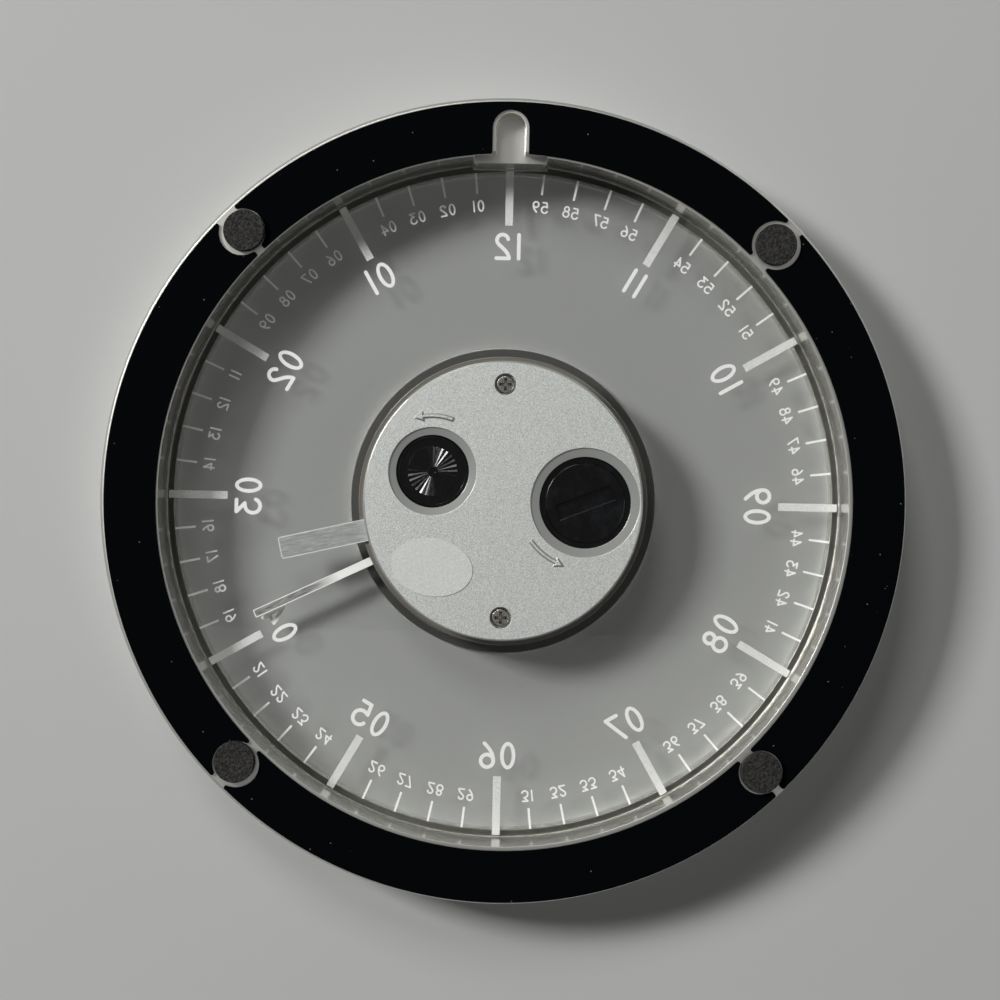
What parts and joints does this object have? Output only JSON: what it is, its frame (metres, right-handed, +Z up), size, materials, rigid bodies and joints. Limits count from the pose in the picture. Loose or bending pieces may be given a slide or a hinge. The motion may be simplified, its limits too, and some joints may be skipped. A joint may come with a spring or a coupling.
{
  "type": "mystery clock",
  "caption": "Round mystery clock: metal ring, clear dial with white numerals, strip hands that seem to float round a small central housing, setting knob and coin-slot battery door behind.",
  "frame": {"origin": "on the dial's axis, midway through the clock's thickness", "axes": "+Z up to twelve o'clock, +X to three o'clock, -Y out of the front of the dial, +Y out of the back towards the wall"},
  "size_m": [0.126, 0.0112, 0.126],
  "materials": {
    "nickelled_ring": "nickel plated, satin",
    "flock": "flocked, matt",
    "foot_rubber": "matt",
    "clear_acrylic": "polished, clear",
    "white_print": "matt ink",
    "disc_aluminium": "brushed",
    "black_moulding": "moulded",
    "hand_aluminium": "brushed",
    "silver_cap": "silver lacquer, fine grain",
    "screw_steel": "nickel plated",
    "black_knob": "polished",
    "gear_acetal": "moulded",
    "magnet": "ground",
    "soft_iron": "stamped",
    "bobbin_nylon": "moulded",
    "copper_wire": "enamelled wire",
    "board_laminate": "solder mask",
    "chip_resin": "domed resin",
    "crystal_can": "drawn can",
    "cell_steel": "satin",
    "contact_nickel": "plated strip",
    "black_door": "fine moulded grain",
    "seal_rubber": "smooth",
    "clear_film": "satin clear film, blank"
  },
  "bodies": {
    "clock": {"ring_body": "nickelled_ring", "backing_top": "flock", "backing_right": "flock", "backing_bottom": "flock", "backing_left": "flock", "foot_1": "foot_rubber", "foot_2": "foot_rubber", "foot_3": "foot_rubber", "foot_4": "foot_rubber", "dial_plate": "clear_acrylic", "hour_marks": "white_print", "minute_marks": "white_print", "hour_numerals": "white_print", "minute_numerals": "white_print", "front_disc": "disc_aluminium", "housing_cup": "black_moulding", "bridge": "black_moulding", "back_cap": "silver_cap", "cap_screws": "screw_steel", "stator": "soft_iron", "coil_core": "soft_iron", "coil_bobbin": "bobbin_nylon", "coil_winding": "copper_wire", "circuit_board": "board_laminate", "clock_chip": "chip_resin", "quartz_crystal": "crystal_can", "contact_minus": "contact_nickel", "contact_plus": "contact_nickel", "cap_film": "clear_film"},
    "minutes": {"minute_ring": "black_moulding", "minute_hand": "hand_aluminium"},
    "hours": {"hour_ring": "black_moulding", "hour_hand": "hand_aluminium"},
    "setting": {"set_gear": "gear_acetal", "set_knob": "black_knob"},
    "transfer": {"transfer_wheel": "gear_acetal"},
    "hour_drive": {"hour_wheel": "gear_acetal"},
    "motor_drive": {"motor_wheel": "gear_acetal"},
    "motor_rotor": {"rotor": "magnet"},
    "seal": {"door_seal": "seal_rubber"},
    "door": {"battery_door": "black_door"},
    "cell": {"battery_cell": "cell_steel"}
  },
  "joints": [
    {"name": "minute_turn", "type": "hinge", "parent": "clock", "child": "minutes", "pos_m": [0, 0, 0], "axis": [0, 1, 0], "continuous": true},
    {"name": "hour_turn", "type": "hinge", "parent": "clock", "child": "hours", "pos_m": [0, 0, 0], "axis": [0, 1, 0], "continuous": true},
    {"name": "set_turn", "type": "hinge", "parent": "clock", "child": "setting", "pos_m": [0.01116, 0, 0.00442], "axis": [0, 1, 0], "continuous": true},
    {"name": "transfer_turn", "type": "hinge", "parent": "clock", "child": "transfer", "pos_m": [0.00732, 0, -0.0002], "axis": [0, 1, 0], "continuous": true},
    {"name": "hour_drive_turn", "type": "hinge", "parent": "clock", "child": "hour_drive", "pos_m": [0.00946, 0, -0.00739], "axis": [0, 1, 0], "continuous": true},
    {"name": "motor_drive_turn", "type": "hinge", "parent": "clock", "child": "motor_drive", "pos_m": [0.00176, 0, 0.001], "axis": [0, 1, 0], "continuous": true},
    {"name": "rotor_turn", "type": "hinge", "parent": "clock", "child": "motor_rotor", "pos_m": [-0.00315, 0, -0.00244], "axis": [0, 1, 0], "continuous": true},
    {"name": "door_lift", "type": "slide", "parent": "clock", "child": "seal", "axis": [0, 1, 0], "range_m": [0, 0.012]},
    {"name": "door_turn", "type": "hinge", "parent": "seal", "child": "door", "pos_m": [-0.0129, 0, 0], "axis": [0, 1, 0], "range_deg": [0, 450]},
    {"name": "cell_lift", "type": "slide", "parent": "clock", "child": "cell", "axis": [0, 1, 0], "range_m": [0, 0.006]}
  ],
  "couplings": [
    {"joint": "hour_turn", "follows": "minute_turn", "ratio": 0.083333},
    {"joint": "set_turn", "follows": "minute_turn", "ratio": 2.5},
    {"joint": "transfer_turn", "follows": "minute_turn", "ratio": -0.83333},
    {"joint": "hour_drive_turn", "follows": "minute_turn", "ratio": 0.20833},
    {"joint": "motor_drive_turn", "follows": "minute_turn", "ratio": -10},
    {"joint": "rotor_turn", "follows": "minute_turn", "ratio": 90},
    {"joint": "door_turn", "follows": "door_lift", "rad_per_m": 654.5},
    {"joint": "cell_lift", "follows": "door_lift", "ratio": 0.5}
  ]
}
